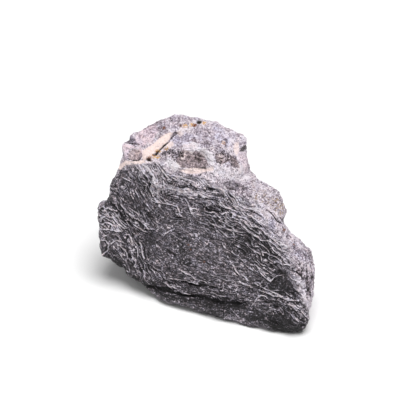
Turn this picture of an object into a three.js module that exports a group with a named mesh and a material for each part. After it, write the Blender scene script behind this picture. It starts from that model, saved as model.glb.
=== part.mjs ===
// A hand specimen of galena: a wedge of sheared, dark grey galena under a cap of pale gangue.
// One stone, grown as one piece, so it is one mesh. It rests on its underside.
//
// Millimetres, +Z up, x to the right along the display side and y to the back.
// The stone is an implicit solid: blocks melted together, then broken, folded and cut. A sphere
// of triangles is drawn onto it, so the mesh is closed whatever the relief does.
// The display side is described in its own flat coordinates, as seen from 35 degrees above level:
// u to the right, v up and w towards the viewer.

import * as THREE from "three";
import { ConvexHull } from "three/addons/math/ConvexHull.js";
import { ImprovedNoise } from "three/addons/math/ImprovedNoise.js";
import { mergeVertices } from "three/addons/utils/BufferGeometryUtils.js";

// ---- Driving dimensions -------------------------------------------------------------------------

const DISPLAY_TILT = THREE.MathUtils.degToRad(35);
const EDGE_ROUND = 0.8; // how far the edges of a block are worn round
const JOIN_ROUND = 2.0; // how far neighbouring blocks melt into each other
const OUTLINE_ROUND = 2.4; // how softly the outline cuts the blocks
const LAYER_SIZE = [17, 14, 5.5]; // a broken slab of the layering: along x, along y and through it
const LAYER_STEP = 1.1; // how far one slab stands out from the next
const LAYER_TILT = 0.16; // how far a slab's broken face leans, as a slope
const GROUND = -3.2; // the level that it is cut off at, which it rests on
const HEART = new THREE.Vector3(0, 16, 30); // a point deep in the stone, which sees its surface
const REACH = 90; // further from HEART than any of the surface
const COARSE_DETAIL = 4; // 20 (COARSE_DETAIL + 1)^2 triangles, each split in four twice over
const FINE_SIDE = 2.4; // how many times finer the mesh is on the display side than at the back

// The blocks that the stone broke into, each the hull of its corners. They overlap and are one stone.
const BLOCKS = {
  core: [
    [-40, 30, 8], [-22, 44, -8], [14, 43, -8], [30, 33, -8], [40, 20, -8], [49, 0, -8],
    [46, -36, -8], [-6, -15, -8], [-24, -7, -3], [-42, 7, 11], [-44, 28, 38], [-36, 32, 54],
    [14, 36, 55], [24, 36, 42], [28, 22, 42], [34, 14, 34], [46, -4, 24], [46, -20, 20], [20, 10, 45],
  ],
  galenaWedge: [
    [47, -45, -8], [-6, -22, -8], [-24, -12, -8], [-32, -7, -2], [-42, 1, 8],
    [-29, 21, 60], [-16, 12, 56], [0, 14, 59.5], [0, 2.5, 50], [15, 6, 58.5], [15, -5.5, 48.5],
    [29, -5, 54], [28, -12, 45], [38, -18, 44], [45, -26, 34], [48.5, -33, 21], [49.5, -37, 8],
    [22, 20, 42], [30, 10, 6], [-20, 30, 20], [-30, 26, 50],
  ],
  summit: [
    [-45, 35, 59], [-41, 42, 65], [-30, 44, 71], [-19, 45, 75.5], [-12, 45, 76],
    [-2, 44, 75], [11, 40, 70.5], [18, 37, 69], [22, 32.5, 67], [22, 28, 62],
    [-41, 26, 56], [-28, 21, 60], [14, 3, 58.5], [-15, 48, 38], [9, 46, 34],
    [-41, 33, 6], [-22, 43, -8], [13, 41, -8], [25, 24, -8],
  ],
  leftFlank: [
    [-39, 25, 57.5], [-29, 20, 60], [-44, 31, 50], [-46, 28, 45], [-49, 24, 40.5],
    [-50, 22, 37], [-47, 8, 14], [-42, 3, 9], [-24, -9, -8], [-26, 5, 30],
    [-45, 34, 25], [-40, 33, 7],
  ],
  leftLobe: [
    [-51, 19, 42], [-54, 16, 40], [-55, 14, 35], [-55, 11, 29], [-55, 9, 20],
    [-54, 8, 15], [-47, 4, 11], [-42, 2, 8], [-46, 5, 30], [-38, 8, 33],
    [-28, 2, 19], [-30, 5, 31], [-36, 4, 14], [-50, 27, 32], [-49, 28, 16], [-42, 33, 12], [-42, 33, 36],
  ],
  rightShoulder: [
    [24, 17, 55.5], [31, 14, 55], [38, 9, 51], [41, 2, 44], [39, -2, 40.5],
    [29, -6, 54], [15, 5, 58.5], [38, -17, 45], [36, 18, 28], [38, 14, -8],
    [20, 30, 40], [22, 26, -8],
  ],
  toe: [
    [41, -6, 38], [47, -9, 36], [52, -10, 32], [54, -13, 23], [54, -18, 16],
    [52.5, -25, 9], [51.5, -38, 5], [50.5, -47, -8], [40, -40, -8], [45, -26, 35], [48.5, -33, 21],
    [51, -4, -8], [46, 3, 10], [30, 8, -8], [36, 4, 36],
  ],
};

// The stone's outline on the display side, as (u, v).
const OUTLINE = [
  [-13.1, 83.6], [-7.3, 83.1], [-3.4, 82.6], [3.9, 80.2], [10.7, 76.3], [15.1, 74.8],
  [17, 73.4], [19, 71], [19, 68.5], [18.5, 66.6], [19.4, 61.7], [20.9, 56.9],
  [24.3, 52.5], [26.7, 51], [29.6, 50], [33.5, 46.7], [36, 44.2], [36.5, 40.8],
  [37.9, 35.5], [36.9, 32.1], [38.9, 29.2], [41.3, 26.7], [44.7, 22.4], [47.6, 20.9],
  [50.1, 19], [51.5, 14.1], [52.5, 10.2], [52, 3.4], [51.5, -1.5], [50.5, -6.3],
  [49.1, -8.7], [48.8, -15.6], [47.9, -19.2], [45.5, -22.2], [41.8, -23.2], [36.8, -22.2],
  [30, -20.9], [23.6, -19.3], [17.3, -17.7], [11, -16.3], [5, -15], [-0.2, -13.4],
  [-3.8, -11.7], [-7.5, -10.5], [-14.2, -9.2], [-20.2, -7.9], [-25.9, -5.4], [-30.1, -2.6],
  [-33.3, 0.2], [-36.7, 3.1], [-40.5, 6], [-44.5, 9], [-48, 11.9], [-51.8, 15],
  [-53.3, 19.5], [-53.2, 30.1], [-53.2, 36.5], [-52, 40.3], [-50.1, 42.8], [-48.4, 42.8],
  [-47.7, 43.9], [-47.4, 47.1], [-46, 53], [-44, 57.8], [-41.4, 61], [-41.8, 64.2],
  [-41.3, 67.6], [-39.9, 71], [-36.9, 73.9], [-32.6, 76.8], [-27.7, 78.7], [-22.8, 81.2],
  [-18, 83.1],
];

// Relief on the display side, on a grid of GRID mm squares whose columns run right and rows run down.
// Folds stand up and grooves cut in: [height, half width, ...points], in mm and grid squares.
const GRID = 0.486;
const GRID_ORIGIN = [207, 287]; // the column and row of u = 0, v = 0
const FOLDS = [
  [1.5, 2.4, [142, 166], [150, 172], [155, 180], [158, 190], [157, 199]], // crest of the left buttress
  [0.9, 1.4, [157, 163], [163, 171], [166, 180], [164, 187]],
  [0.9, 1.1, [150, 199], [158, 203], [168, 205], [177, 208], [179, 213], [183, 217]],
  [1.1, 1.2, [121, 207], [126, 213], [133, 219], [141, 224], [153, 230]],
  [0.8, 1.0, [130, 210], [138, 216]],
  [0.9, 1.0, [133, 225], [140, 230], [147, 233]],
  [1.2, 1.8, [130, 236], [133, 246], [135, 256], [136, 268]],
  [0.9, 1.0, [139, 241], [142, 250], [145, 258], [149, 264]],
  [1.0, 1.2, [106, 208], [112, 214], [117, 220], [122, 227]], // folds over the left lobe
  [0.8, 1.0, [101, 224], [108, 226], [115, 229], [121, 231]],
  [0.8, 1.0, [101, 240], [106, 244], [107, 250], [104, 254]],
  [0.8, 1.0, [109, 245], [114, 241], [120, 244], [125, 249], [126, 258]],
  [0.9, 1.1, [232, 266], [236, 272], [241, 277], [248, 280]],
  [1.0, 1.1, [252, 265], [259, 269], [263, 275], [269, 281], [275, 277]],
  [1.0, 1.1, [255, 282], [262, 286], [270, 289], [277, 293], [285, 295]],
  [0.9, 1.0, [262, 291], [272, 294], [280, 297], [290, 300], [298, 302]],
  [0.9, 1.1, [268, 262], [276, 261], [282, 264], [290, 266]],
  [0.8, 1.0, [252, 303], [256, 298], [263, 296], [270, 299]],
  [0.9, 1.2, [285, 302], [293, 306], [302, 312]],
  [0.8, 1.1, [213, 222], [221, 226], [228, 231], [236, 232]],
  [0.9, 1.2, [236, 220], [243, 225], [250, 232], [259, 238]],
  [0.8, 1.1, [250, 221], [258, 227], [266, 233]],
  [0.9, 1.2, [262, 236], [270, 242], [277, 249], [288, 260]],
  [1.1, 2.4, [160, 299], [178, 303], [200, 307], [222, 312], [245, 314]], // lip below the foot groove
];
const GROOVES = [
  [2.0, 1.9, [138, 283], [152, 288], [166, 292], [182, 295], [200, 298], [220, 302], [248, 304]],
  [0.9, 1.0, [152, 163], [158, 171], [161, 180], [161, 187]],
  [1.2, 1.4, [196, 203], [206, 207], [216, 211], [225, 211]],
  [0.8, 1.1, [205, 190], [215, 191], [222, 195], [229, 198], [237, 203]],
  [0.8, 1.1, [108, 200], [114, 207], [120, 216], [126, 225], [128, 236]], // parts lobe from buttress
  [1.0, 0.9, [146, 161], [152, 156], [158, 151], [163, 146], [169, 140]], // crack in the gangue
  [0.9, 1.2, [163, 151], [170, 152], [178, 154], [187, 156]],
  [0.9, 0.9, [265, 209], [273, 217], [282, 225]],
  [0.7, 1.0, [219, 144], [222, 139], [227, 143]],
];
// Ledges: the stone above the line stands out. [step, how far up it fades, ...points]
const LEDGES = [
  [1.6, 5.0, [152, 191], [162, 188], [172, 188], [185, 191], [200, 197], [216, 200], [232, 205]],
  [1.4, 4.5, [146, 281], [162, 280], [180, 282], [198, 284], [218, 289]],
  [0.9, 4.0, [210, 216], [226, 219], [240, 226], [252, 235]],
  [0.8, 3.5, [176, 262], [190, 265], [204, 270]],
  [0.9, 4.0, [138, 161], [152, 150], [162, 142], [176, 131]],
  [0.8, 4.0, [176, 172], [196, 171], [214, 174], [232, 182]],
];
// Hollows: [depth, column, row, half width, half height], the sizes in grid squares.
const HOLLOWS = [
  [2.7, 193, 160, 15, 8.5],
  [1.9, 223, 157, 7.5, 6],
  [1.6, 235, 162, 4.5, 7],
  [1.2, 199, 121, 3.5, 2.5],
  [1.6, 244, 147, 4, 5],
  [1.1, 172, 197, 14, 6],
  [1.4, 281, 282, 12, 16],
  [0.8, 248, 245, 10, 10],
  [0.7, 150, 241, 9, 12],
  [0.6, 214, 240, 16, 12],
];

// ---- Helpers -----------------------------------------------------------------------------------

const { smoothstep } = THREE.MathUtils;
const perlin = new ImprovedNoise();
const SIN = Math.sin(DISPLAY_TILT);
const COS = Math.cos(DISPLAY_TILT);

// Smooth minimum and maximum, which round the crease by about `round`.
function softMin(a, b, round) {
  const h = Math.max(round - Math.abs(a - b), 0) / round;
  return Math.min(a, b) - (h * h * round) / 4;
}
const softMax = (a, b, round) => -softMin(-a, -b, round);

// A number from 0 to 1 that belongs to a cell of a grid.
function chance(i, j, k, salt) {
  let h = Math.imul(i, 374761393) ^ Math.imul(j, 668265263) ^ Math.imul(k, 2246822519);
  h = Math.imul((h ^ (h >>> 13)) + Math.imul(salt, 3266489917), 1274126177);
  return ((h ^ (h >>> 16)) >>> 0) / 4294967296;
}

// ---- The blocks --------------------------------------------------------------------------------

// The planes of a block's faces, each once: outside is where x px + y py + z pz > d.
function facesOf(corners) {
  const hull = new ConvexHull().setFromPoints(corners.map((c) => new THREE.Vector3(...c)));
  const planes = [];
  for (const { normal: n, constant: d } of hull.faces) {
    const same = planes.some((q) => q.x * n.x + q.y * n.y + q.z * n.z > 0.999 && Math.abs(q.d - d) < 0.5);
    if (!same) planes.push({ x: n.x, y: n.y, z: n.z, d });
  }
  return planes;
}

const blocks = Object.values(BLOCKS).map(facesOf);

// About how far a point is outside a block, with the block's edges rounded off.
function outsideBlock(planes, x, y, z) {
  let most = -Infinity;
  for (const q of planes) most = Math.max(most, q.x * x + q.y * y + q.z * z - q.d);
  let sum = 0;
  for (const q of planes) {
    const less = (q.x * x + q.y * y + q.z * z - q.d - most) / EDGE_ROUND;
    if (less > -6) sum += Math.exp(less);
  }
  return most + EDGE_ROUND * Math.log(sum);
}

// How far (u, v) is outside the outline; less than zero inside it.
function outsideOutline(u, v) {
  let near = Infinity;
  let inside = false;
  for (let i = 0, j = OUTLINE.length - 1; i < OUTLINE.length; j = i++) {
    const [au, av] = OUTLINE[j];
    const [bu, bv] = OUTLINE[i];
    const du = bu - au, dv = bv - av;
    const t = Math.max(0, Math.min(1, ((u - au) * du + (v - av) * dv) / (du * du + dv * dv)));
    near = Math.min(near, Math.hypot(u - au - t * du, v - av - t * dv));
    if (av > v !== bv > v && u < au + ((v - av) / dv) * du) inside = !inside;
  }
  return inside ? -near : near;
}

// ---- Broken layering ---------------------------------------------------------------------------

// How far the slab that a point belongs to stands out. Each slab breaks along a plane of its own.
function slabs(x, y, z) {
  const qx = x / LAYER_SIZE[0], qy = y / LAYER_SIZE[1];
  const qz = (z + 0.12 * x + 0.1 * y) / LAYER_SIZE[2];
  const i0 = Math.floor(qx), j0 = Math.floor(qy), k0 = Math.floor(qz);
  let sum = 0;
  let weight = 0;
  for (let i = i0 - 1; i <= i0 + 1; i++) {
    for (let j = j0 - 1; j <= j0 + 1; j++) {
      for (let k = k0 - 1; k <= k0 + 1; k++) {
        const dx = qx - i - chance(i, j, k, 1), dy = qy - j - chance(i, j, k, 2);
        const dz = qz - k - chance(i, j, k, 3);
        const w = Math.exp(-11 * (dx * dx + dy * dy + dz * dz));
        const lean = LAYER_TILT * (dx * 2 * (chance(i, j, k, 5) - 0.5) + dy * 2 * (chance(i, j, k, 6) - 0.5));
        sum += w * (LAYER_STEP * 2 * (chance(i, j, k, 4) - 0.5) + lean * LAYER_SIZE[0]);
        weight += w;
      }
    }
  }
  return sum / weight;
}

// ---- The display side's relief ------------------------------------------------------------------

const toUV = ([column, row]) => [(column - GRID_ORIGIN[0]) * GRID, (GRID_ORIGIN[1] - row) * GRID];
const strokes = (rows) =>
  rows.map(([high, wide, ...points]) => {
    const line = points.map(toUV);
    const us = line.map((q) => q[0]), vs = line.map((q) => q[1]);
    const box = [Math.min(...us), Math.max(...us), Math.min(...vs), Math.max(...vs)];
    return { high, wide, line, box, reach: 2.6 * wide };
  });
const folds = strokes(FOLDS);
const grooves = strokes(GROOVES);
const ledges = strokes(LEDGES);
const hollows = HOLLOWS.map(([deep, column, row, across, up]) => {
  const [u, v] = toUV([column, row]);
  return { deep, u, v, across: across * GRID, up: up * GRID };
});

// The nearest point of a polyline: how far, on which side, and how far along from the nearer end.
const near = { far: 0, above: 0, fromEnd: 0 };
function nearest(line, u, v) {
  let best = Infinity;
  let run = 0;
  let along = 0;
  let total = 0;
  for (let i = 1; i < line.length; i++) {
    const [au, av] = line[i - 1];
    const du = line[i][0] - au, dv = line[i][1] - av;
    const long = Math.hypot(du, dv);
    const t = Math.max(0, Math.min(1, ((u - au) * du + (v - av) * dv) / (long * long)));
    const far = Math.hypot(u - au - t * du, v - av - t * dv);
    if (far < best) {
      best = far;
      along = run + t * long;
      near.above = du * (v - av) - dv * (u - au) > 0 ? far : -far;
    }
    run += long;
    total = run;
  }
  near.far = best;
  near.fromEnd = Math.min(along, total - along);
}

const isFar = ({ box, reach }, u, v) =>
  u < box[0] - reach || u > box[1] + reach || v < box[2] - reach || v > box[3] + reach;

// How much a layered noise stands up that runs at `angle` degrees, with long ridges and short gaps.
function grain(u, v, angle, long, short) {
  const a = THREE.MathUtils.degToRad(angle);
  const s = u * Math.cos(a) + v * Math.sin(a);
  const t = v * Math.cos(a) - u * Math.sin(a) + 0.9 * perlin.noise(s / 9, v / 9, 2.5);
  return 1 - 3 * Math.abs(perlin.noise(s / long, t / short, angle));
}

// The shear folds of the galena: steep at the left, flat at the foot, slanting to the right above.
function wrinkles(u, v) {
  const left = smoothstep(-u, 18, 34);
  const foot = smoothstep(-v, -10, 4) * (1 - left);
  const right = smoothstep(u, 2, 26) * (1 - foot) * (1 - left);
  const middle = 1 - left - foot - right;
  let sum = 0;
  if (left > 0) sum += left * grain(u, v, -58, 10, 3.4);
  if (foot > 0) sum += foot * grain(u, v, -13, 14, 3.2);
  if (right > 0) sum += right * grain(u, v, -38, 11, 3.4);
  if (middle > 0) sum += middle * grain(u, v, -22, 12, 3.6);
  return 0.42 * sum;
}

function displayRelief(u, v) {
  let h = 0;
  for (const stroke of folds) {
    if (isFar(stroke, u, v)) continue;
    nearest(stroke.line, u, v);
    h += stroke.high * Math.exp(-((near.far / stroke.wide) ** 2)) * Math.min(1, 0.35 + near.fromEnd / 3);
  }
  for (const stroke of grooves) {
    if (isFar(stroke, u, v)) continue;
    nearest(stroke.line, u, v);
    h -= stroke.high * Math.exp(-((near.far / stroke.wide) ** 2)) * Math.min(1, 0.35 + near.fromEnd / 3);
  }
  for (const stroke of ledges) {
    if (isFar(stroke, u, v)) continue;
    nearest(stroke.line, u, v);
    const ends = smoothstep(near.fromEnd, 0, 5);
    const off = near.above / stroke.wide;
    const side = off > 0 ? Math.exp(-off) : -0.5 * Math.exp(off * 2.5);
    h += stroke.high * ends * side * smoothstep(near.far, 0, 0.7);
  }
  for (const { deep, u: cu, v: cv, across, up } of hollows) {
    const r = Math.hypot((u - cu) / across, (v - cv) / up);
    if (r < 1.25) h -= deep * (1 - smoothstep(r, 0.45, 1.25));
  }
  return h + wrinkles(u, v);
}

// ---- The stone ---------------------------------------------------------------------------------

// About how far a point is outside the blocks, cut to the outline and to the ground.
function outsideBlocks(x, y, z) {
  let out = Infinity;
  for (const planes of blocks) out = Math.min(out, outsideBlock(planes, x, y, z));
  out = softMax(out, outsideOutline(x, y * SIN + z * COS), OUTLINE_ROUND);
  return Math.max(out, GROUND - z);
}

// About how far a point is outside the stone.
function outside(x, y, z) {
  let out = Infinity;
  for (const planes of blocks) {
    const d = outsideBlock(planes, x, y, z);
    out = out === Infinity ? d : softMin(out, d, JOIN_ROUND);
  }
  const v = y * SIN + z * COS;
  const front = smoothstep(z * SIN - y * COS, -4, 6);
  out -= slabs(x, y, z) * (1 - 0.5 * front);
  if (front > 0) out -= front * displayRelief(x, v);
  out = softMax(out, outsideOutline(x, v), OUTLINE_ROUND);
  const hollow = Math.max(0, 1.6 * perlin.noise(x / 19 + 3, y / 17, 5) + 0.25);
  return Math.max(out, GROUND + hollow - z);
}

// The slope of a solid's distance, by differences.
function slopeAt(solid, x, y, z, here, slope) {
  const e = 0.3;
  slope.set(solid(x + e, y, z) - here, solid(x, y + e, z) - here, solid(x, y, z + e) - here);
  return slope.divideScalar(e);
}

// ---- The mesh: a geodesic sphere drawn onto the stone ------------------------------------------

// Moves each vertex of a unit sphere out from HEART to the surface.
function castOut(p) {
  for (let k = 0; k < p.length; k += 3) {
    const d = new THREE.Vector3(p[k], p[k + 1], p[k + 2]).normalize();
    let low = 0;
    let high = REACH;
    for (let step = 0; step < 26; step++) {
      const r = (low + high) / 2;
      if (outsideBlocks(HEART.x + d.x * r, HEART.y + d.y * r, HEART.z + d.z * r) > 0) high = r;
      else low = r;
    }
    p[k] = HEART.x + d.x * low;
    p[k + 1] = HEART.y + d.y * low;
    p[k + 2] = HEART.z + d.z * low;
  }
}

// Slides the vertices along a solid until the triangles are even, and finer on the display side.
function relax(solid, p, index, rounds) {
  const slope = new THREE.Vector3();
  for (let round = 0; round < rounds; round++) {
    const sum = new Float64Array(p.length);
    const weight = new Float64Array(p.length / 3);
    for (let t = 0; t < index.length; t += 3) {
      const a = index[t] * 3, b = index[t + 1] * 3, c = index[t + 2] * 3;
      const ux = p[b] - p[a], uy = p[b + 1] - p[a + 1], uz = p[b + 2] - p[a + 2];
      const vx = p[c] - p[a], vy = p[c + 1] - p[a + 1], vz = p[c + 2] - p[a + 2];
      const area = Math.hypot(uy * vz - uz * vy, uz * vx - ux * vz, ux * vy - uy * vx);
      const mx = (p[a] + p[b] + p[c]) / 3, my = (p[a + 1] + p[b + 1] + p[c + 1]) / 3;
      const mz = (p[a + 2] + p[b + 2] + p[c + 2]) / 3;
      const w = area * (1 + (FINE_SIDE - 1) * smoothstep(-my * COS + mz * SIN, -6, 8)) ** 2;
      for (const k of [a, b, c]) {
        sum[k] += w * mx;
        sum[k + 1] += w * my;
        sum[k + 2] += w * mz;
        weight[k / 3] += w;
      }
    }
    for (let k = 0; k < p.length; k += 3) {
      const w = weight[k / 3];
      const dx = sum[k] / w - p[k], dy = sum[k + 1] / w - p[k + 1], dz = sum[k + 2] / w - p[k + 2];
      const here = solid(p[k], p[k + 1], p[k + 2]);
      slopeAt(solid, p[k], p[k + 1], p[k + 2], here, slope);
      const steep = Math.max(slope.lengthSq(), 0.25);
      const along = (dx * slope.x + dy * slope.y + dz * slope.z) / steep;
      const back = Math.max(-1.5, Math.min(1.5, here / steep));
      p[k] += dx - (along + back) * slope.x;
      p[k + 1] += dy - (along + back) * slope.y;
      p[k + 2] += dz - (along + back) * slope.z;
    }
  }
}

// Splits every triangle in four at the middles of its edges.
function split(positions, index) {
  const p = Array.from(positions);
  const middles = new Map();
  const middle = (a, b) => {
    const key = Math.min(a, b) * 1e6 + Math.max(a, b);
    if (!middles.has(key)) {
      middles.set(key, p.length / 3);
      for (let i = 0; i < 3; i++) p.push((p[a * 3 + i] + p[b * 3 + i]) / 2);
    }
    return middles.get(key);
  };
  const out = [];
  for (let t = 0; t < index.length; t += 3) {
    const [a, b, c] = [index[t], index[t + 1], index[t + 2]];
    const [d, e, f] = [middle(a, b), middle(b, c), middle(c, a)];
    out.push(a, d, f, d, b, e, f, e, c, d, e, f);
  }
  return [new Float64Array(p), out];
}

function stoneGeometry() {
  const sphere = new THREE.IcosahedronGeometry(1, COARSE_DETAIL);
  sphere.deleteAttribute("normal");
  sphere.deleteAttribute("uv");
  const start = mergeVertices(sphere, 1e-4);
  const coarse = new Float64Array(start.attributes.position.array);
  castOut(coarse);
  relax(outsideBlocks, coarse, start.index.array, 150);
  const [middling, middlingIndex] = split(coarse, start.index.array);
  relax(outsideBlocks, middling, middlingIndex, 80);
  const [p, index] = split(middling, middlingIndex);
  relax(outside, p, index, 36);
  for (let k = 2; k < p.length; k += 3) if (p[k] < GROUND + 0.25) p[k] = GROUND; // flat where it rests

  const geometry = new THREE.BufferGeometry();
  geometry.setAttribute("position", new THREE.BufferAttribute(new Float32Array(p), 3));
  geometry.setIndex(index);
  geometry.computeBoundingBox();
  const { min, max } = geometry.boundingBox;
  geometry.translate(-(min.x + max.x) / 2, -(min.y + max.y) / 2, -min.z);
  geometry.computeVertexNormals();
  return geometry;
}

const specimen = new THREE.Mesh(
  stoneGeometry(),
  new THREE.MeshStandardMaterial({ color: 0x6f6a72, roughness: 0.6, metalness: 0.3 }),
);
specimen.name = "galena_specimen";

const part = new THREE.Group();
part.add(specimen);
export default part;
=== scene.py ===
"""A hand specimen of galena: dark sheared galena under a cap of pale gangue, on a plain floor."""

import math

import bpy
import numpy as np
from mathutils import Matrix, Vector


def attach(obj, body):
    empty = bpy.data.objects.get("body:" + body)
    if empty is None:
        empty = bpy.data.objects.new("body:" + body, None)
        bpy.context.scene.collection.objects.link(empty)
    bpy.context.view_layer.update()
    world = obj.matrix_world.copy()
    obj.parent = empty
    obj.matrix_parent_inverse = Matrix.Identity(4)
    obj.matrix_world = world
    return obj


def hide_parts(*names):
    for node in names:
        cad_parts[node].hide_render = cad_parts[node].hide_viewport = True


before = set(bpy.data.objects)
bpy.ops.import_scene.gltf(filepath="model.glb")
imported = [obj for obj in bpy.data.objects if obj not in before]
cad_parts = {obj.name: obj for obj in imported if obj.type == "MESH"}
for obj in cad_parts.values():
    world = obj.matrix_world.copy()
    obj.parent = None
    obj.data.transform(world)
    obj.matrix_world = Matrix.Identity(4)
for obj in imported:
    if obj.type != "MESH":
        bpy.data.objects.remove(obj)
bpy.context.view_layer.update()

# ---- Where things are ----
# The display side is described in millimetres as it is seen from 35 degrees above level: u to the
# right, v up and w towards the viewer. Relief and colour are drawn on a grid of GRID mm squares.
# Its columns count to the right and its rows down, from the upper left of the front view.

TILT = math.radians(35)
SIN, COS = math.sin(TILT), math.cos(TILT)
GRID = 0.486
ZERO_COL, ZERO_ROW = 207, 287  # the square where u = v = 0
ORIGIN_MM = np.array([0.55, -4.97, 3.2])  # where u = v = w = 0 is in the row's frame
FAR = 99.0  # millimetres, further than any drawn line reaches


def display(points_mm):
    """The u, v and w of points given in the row's frame."""
    p = points_mm - ORIGIN_MM
    return p[:, 0], p[:, 1] * SIN + p[:, 2] * COS, p[:, 2] * SIN - p[:, 1] * COS


def to_row(u, v, w):
    """A display-side point in the row's frame, in metres."""
    return Vector((u, v * SIN - w * COS, v * COS + w * SIN)) / 1000 + Vector(ORIGIN_MM / 1000)


def place_in_scene(name, data):
    thing = bpy.data.objects.new(name, data)
    bpy.context.scene.collection.objects.link(thing)
    return thing


# ---- Camera ----

FRAME_MM = 416 * GRID  # across the picture, at the specimen
LENS, SENSOR = 400.0, 36.0
AIM_U, AIM_V, AIM_W = 0.5 * GRID, 79 * GRID, 22.0  # the middle of the picture

cam_data = bpy.data.cameras.new("camera")
cam_data.lens, cam_data.sensor_width = LENS, SENSOR
cam_data.clip_start, cam_data.clip_end = 0.05, 20
camera = place_in_scene("camera", cam_data)
camera.location = to_row(AIM_U, AIM_V, AIM_W + FRAME_MM * LENS / SENSOR)
camera.rotation_euler = (math.pi / 2 - TILT, 0, 0)
bpy.context.scene.camera = camera

# ---- Noise ----

KEYS = (73856093, 19349663, 83492791)  # large odd numbers scatter the bits


def smooth(x, low, high):
    """0 up to low, 1 from high on and an even curve between them."""
    t = np.clip((x - low) / (high - low), 0, 1)
    return t * t * (3 - 2 * t)


def lattice(x, y, z, seed):
    """The broken part of each coordinate, and a hash of any nearby lattice point."""
    whole, part = [], []
    for values, key in zip(np.broadcast_arrays(x, y, z), KEYS):
        values = values.astype(np.float32)
        floor = np.floor(values)
        part.append(values - floor)
        whole.append(floor.astype(np.int32).astype(np.uint32) * np.uint32(key))

    def mixed(*steps):
        h = np.uint32(seed * 668265263 & 0xFFFFFFFF)
        for start, step, key in zip(whole, steps, KEYS):
            h = h ^ (start + np.uint32(step * key & 0xFFFFFFFF))
        h = (h ^ h >> np.uint32(15)) * np.uint32(2246822519)
        h = (h ^ h >> np.uint32(13)) * np.uint32(3266489917)
        return h ^ h >> np.uint32(16)

    return part, mixed


def three(h):
    """Three numbers from -1 to 1 out of a hash."""
    tens = (h >> np.uint32(shift) & np.uint32(1023) for shift in (0, 10, 20))
    return [bits.astype(np.float32) / 511.5 - 1 for bits in tens]


def noise(x, y, z, seed):
    """Gradient noise, about -1 to 1, one value for each point."""
    part, mixed = lattice(x, y, z, seed)
    ease = [f * f * f * (f * (f * 6 - 15) + 10) for f in part]
    total = 0
    for corner in np.ndindex(2, 2, 2):
        value = sum(g * (f - c) for g, f, c in zip(three(mixed(*corner)), part, corner))
        for e, c in zip(ease, corner):
            value = value * (e if c else 1 - e)
        total = total + value
    return total * 1.5


def hackle(x, y, z, seed):
    """Scallops with sharp crests between them, one in each unit cube, and each one's own number."""
    part, mixed = lattice(x, y, z, seed)
    best = np.full(len(x), 9.0, np.float32)
    own = np.zeros(len(x), np.float32)
    for offset in np.ndindex(3, 3, 3):
        jitter = three(mixed(*(o - 1 for o in offset)))
        d = sum((f - (o - 0.5 + 0.48 * j)) ** 2 for f, o, j in zip(part, offset, jitter))
        closer = d < best
        best = np.where(closer, d, best)
        own = np.where(closer, jitter[0] * 0.5 + 0.5, own)
    return best - 0.3, own


# ---- The stone's fine surface ----

SAME_POINT = 1e-5  # metres
SUBDIVISIONS = 3


def modified(thing):
    """The mesh that a thing's modifiers make of it, instead of the thing."""
    out = bpy.data.meshes.new_from_object(thing.evaluated_get(bpy.context.evaluated_depsgraph_get()))
    bpy.data.objects.remove(thing)
    return out


work = place_in_scene("work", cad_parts["galena_specimen"].data.copy())
work.modifiers.new("weld", "WELD").merge_threshold = SAME_POINT
fine = work.modifiers.new("fine", "SUBSURF")
fine.levels = fine.render_levels = SUBDIVISIONS
mesh = modified(work)

count = len(mesh.vertices)
co = np.empty(count * 3)
mesh.vertices.foreach_get("co", co)
co = co.reshape(-1, 3) * 1000
normals = np.empty(count * 3, dtype=np.float32)
mesh.vertex_normals.foreach_get("vector", normals)
normals = normals.reshape(-1, 3).astype(float)
u, v, w = display(co)
x, y, z = (co - ORIGIN_MM).T
col, row = u / GRID + ZERO_COL, ZERO_ROW - v / GRID
facing = normals[:, 2] * SIN - normals[:, 1] * COS
front = smooth(w, -6, 4) * smooth(facing, -0.25, 0.1)
near_side = smooth(w, -30, -16)

# waviness that everything drawn on the display side shares
wave_u = 0.7 * noise(u / 5, v / 5, 0.5, 11) + 0.35 * noise(u / 1.9, v / 1.9, 3.5, 12)
wave_v = 0.7 * noise(u / 5, v / 5, 8.5, 13) + 0.35 * noise(u / 1.9, v / 1.9, 6.5, 14)
jog_u, jog_v = (0.12 * noise(u / 0.9, v / 0.9, 2.5, seed) for seed in (17, 18))


def path_mm(points):
    """The u and v of points that are written as column,row, column,row and so on."""
    return (np.reshape(points, (-1, 2)) - (ZERO_COL, ZERO_ROW)) * (GRID, -GRID)


def close_to(pu, pv, path, margin):
    """Which points lie within a path's own box and a margin."""
    low, high = path.min(0) - margin, path.max(0) + margin
    return np.flatnonzero((pu > low[0]) & (pu < high[0]) & (pv > low[1]) & (pv < high[1]))


def to_path(pu, pv, path):
    """How far points are from a path, on which side of it, and how far from its ends."""
    best, side, along = np.full(len(pu), FAR), np.zeros(len(pu)), np.zeros(len(pu))
    run = 0.0
    for (au, av), (bu, bv) in zip(path[:-1], path[1:]):
        du, dv = bu - au, bv - av
        length = math.hypot(du, dv)
        t = np.clip(((pu - au) * du + (pv - av) * dv) / length**2, 0, 1)
        d = np.hypot(pu - au - t * du, pv - av - t * dv)
        closer = d < best
        best = np.where(closer, d, best)
        side = np.where(closer, np.sign(du * (pv - av) - dv * (pu - au)), side)
        along = np.where(closer, run + t * length, along)
        run += length
    return best, side, np.minimum(along, run - along)


def line(points, wave=0.5):
    """The same for the stone's own points and a wavy line."""
    pu, pv = u + wave * wave_u + jog_u, v + wave * wave_v + jog_v
    path = path_mm(points)
    where = close_to(pu, pv, path, 6)
    far, side, end = np.full(count, FAR), np.zeros(count), np.zeros(count)
    far[where], side[where], end[where] = to_path(pu[where], pv[where], path)
    return far, side, end


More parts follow.
